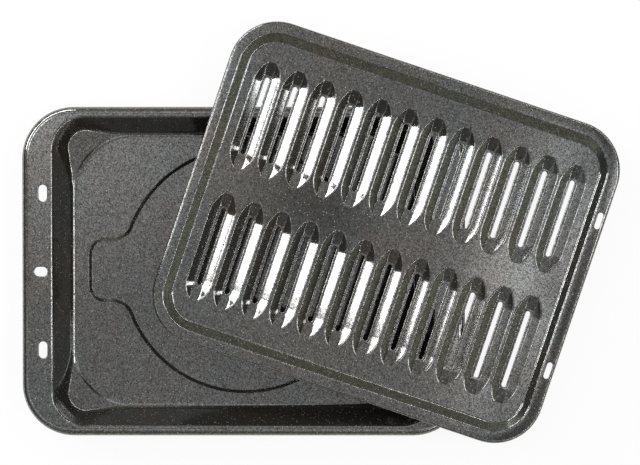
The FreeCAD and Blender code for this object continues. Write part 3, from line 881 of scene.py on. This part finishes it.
def build_world(setup):
    """Make the studio white to the camera, with a soft bright ceiling above low dark walls."""
    world = bpy.data.worlds.new("Studio")
    bpy.context.scene.world = world
    world.use_nodes = True
    tree = world.node_tree
    tree.nodes.clear()
    link = tree.links.new
    direction = add_node(tree, "ShaderNodeTexCoord").outputs["Generated"]
    split = add_node(tree, "ShaderNodeSeparateXYZ")
    link(direction, split.inputs[0])
    across, along, height = split.outputs

    # The lower walls, darker on the left, and a bright line along the corners on the right
    band = add_range(tree, height, *DARK_BAND, setup.wall_light, setup.dark_light, "SMOOTHSTEP")
    side = add_range(tree, across, *LEFT_WALL, LEFT_SHARE, 1.0, "SMOOTHSTEP")
    right = add_range(tree, across, *LINE_START)
    corners = add_range(tree, add_math(tree, "ABSOLUTE", along), *LINE_CORNERS)
    line = add_near(tree, height, LINE_HEIGHT, LINE_FADE, setup.line_light)
    strip = add_math(tree, "MULTIPLY", line, add_math(tree, "MULTIPLY", right, corners))
    low = add_math(tree, "ADD", add_math(tree, "MULTIPLY", band, side), strip)

    # The ceiling with its ring, glows and shades
    total = add_math(tree, "ADD", setup.ceiling_light,
                     add_near(tree, height, RING_HEIGHT, RING_FADE, setup.ring_light))
    for glow in GLOWS:
        total = add_math(tree, "ADD", total, add_glow(tree, direction, *glow))
    ceiling = add_range(tree, height, *CEILING_EDGE, kind="SMOOTHSTEP")
    high = add_math(tree, "MULTIPLY", add_math(tree, "MAXIMUM", total, DARKEST), ceiling)

    room = add_node(tree, "ShaderNodeBackground")
    link(add_mix(tree, ceiling, setup.low_tint, (1.0, 1.0, 1.0)), room.inputs["Color"])
    link(add_math(tree, "ADD", high, low), room.inputs["Strength"])
    white = add_node(tree, "ShaderNodeBackground", {"Color": (1, 1, 1, 1), "Strength": 1.0})
    mixed = add_node(tree, "ShaderNodeMixShader")
    link(add_seen(tree), mixed.inputs[0])
    link(room.outputs[0], mixed.inputs[1])
    link(white.outputs[0], mixed.inputs[2])
    output = add_node(tree, "ShaderNodeOutputWorld")
    link(mixed.outputs[0], output.inputs["Surface"])


def build_camera(setup):
    """Hang the camera over the object and make it the scene's."""
    data = bpy.data.cameras.new("overhead_camera")
    data.lens = setup.lens
    data.sensor_width = 36
    data.sensor_fit = "HORIZONTAL"
    data.clip_end = 100
    camera = bpy.data.objects.new("overhead_camera", data)
    place, target = Vector(setup.camera_place), Vector(setup.camera_target)
    ahead = (target - place).normalized()
    right = ahead.cross(Vector((0, 1, 0))).normalized()
    upright = Matrix((right, right.cross(ahead), -ahead)).transposed()
    turned = upright @ Matrix.Rotation(setup.camera_roll, 3, "Z")
    camera.matrix_world = Matrix.Translation(place) @ turned.to_4x4()
    bpy.context.scene.collection.objects.link(camera)
    bpy.context.scene.camera = camera


class BROILER_OT_drip_pan(bpy.types.Operator):
    """Build the drip pan in place of its CAD node"""

    bl_idname = "broiler.drip_pan"
    bl_label = "Drip Pan"

    def execute(self, context):
        build_drip_pan(context.scene.broiler_pan, enamel("Pan enamel", context.scene.broiler_pan_enamel))
        return {"FINISHED"}


class BROILER_OT_slotted_grid(bpy.types.Operator):
    """Build the slotted grid in place of its CAD node"""

    bl_idname = "broiler.slotted_grid"
    bl_label = "Slotted Grid"

    def execute(self, context):
        build_grid(context.scene.broiler_grid, enamel("Grid enamel", context.scene.broiler_grid_enamel))
        return {"FINISHED"}


class BROILER_OT_studio(bpy.types.Operator):
    """Lay the floor, hang the lamps and set the camera"""

    bl_idname = "broiler.studio"
    bl_label = "Studio"

    def execute(self, context):
        setup = context.scene.broiler_studio
        build_floor(setup)
        build_lamps()
        build_world(setup)
        build_camera(setup)
        context.scene.view_settings.view_transform = "Standard"
        return {"FINISHED"}


class BROILER_PT_sidebar(bpy.types.Panel):
    """Lists the steps that build the broiler pan"""

    bl_idname = "BROILER_PT_sidebar"
    bl_label = "Broiler Pan"
    bl_space_type = "VIEW_3D"
    bl_region_type = "UI"
    bl_category = "Broiler Pan"

    def draw(self, context):
        for operator in (BROILER_OT_drip_pan, BROILER_OT_slotted_grid, BROILER_OT_studio):
            self.layout.operator(operator.bl_idname)


CLASSES = (PanSizes, GridSizes, EnamelLook, StudioSetup, BROILER_OT_drip_pan, BROILER_OT_slotted_grid,
           BROILER_OT_studio, BROILER_PT_sidebar)


def register():
    """Register the classes and hang the settings on the scene."""
    for each in CLASSES:
        bpy.utils.register_class(each)
    bpy.types.Scene.broiler_pan = PointerProperty(type=PanSizes)
    bpy.types.Scene.broiler_grid = PointerProperty(type=GridSizes)
    bpy.types.Scene.broiler_pan_enamel = PointerProperty(type=EnamelLook)
    bpy.types.Scene.broiler_grid_enamel = PointerProperty(type=EnamelLook)
    bpy.types.Scene.broiler_studio = PointerProperty(type=StudioSetup)


def unregister():
    """Take back what register() did."""
    for name in ("broiler_pan", "broiler_grid", "broiler_pan_enamel", "broiler_grid_enamel",
                 "broiler_studio"):
        delattr(bpy.types.Scene, name)
    for each in reversed(CLASSES):
        bpy.utils.unregister_class(each)


def main():
    """Build the pieces and the studio."""
    register()
    bpy.ops.broiler.drip_pan()
    bpy.ops.broiler.slotted_grid()
    bpy.ops.broiler.studio()


if __name__ == "__main__":
    main()
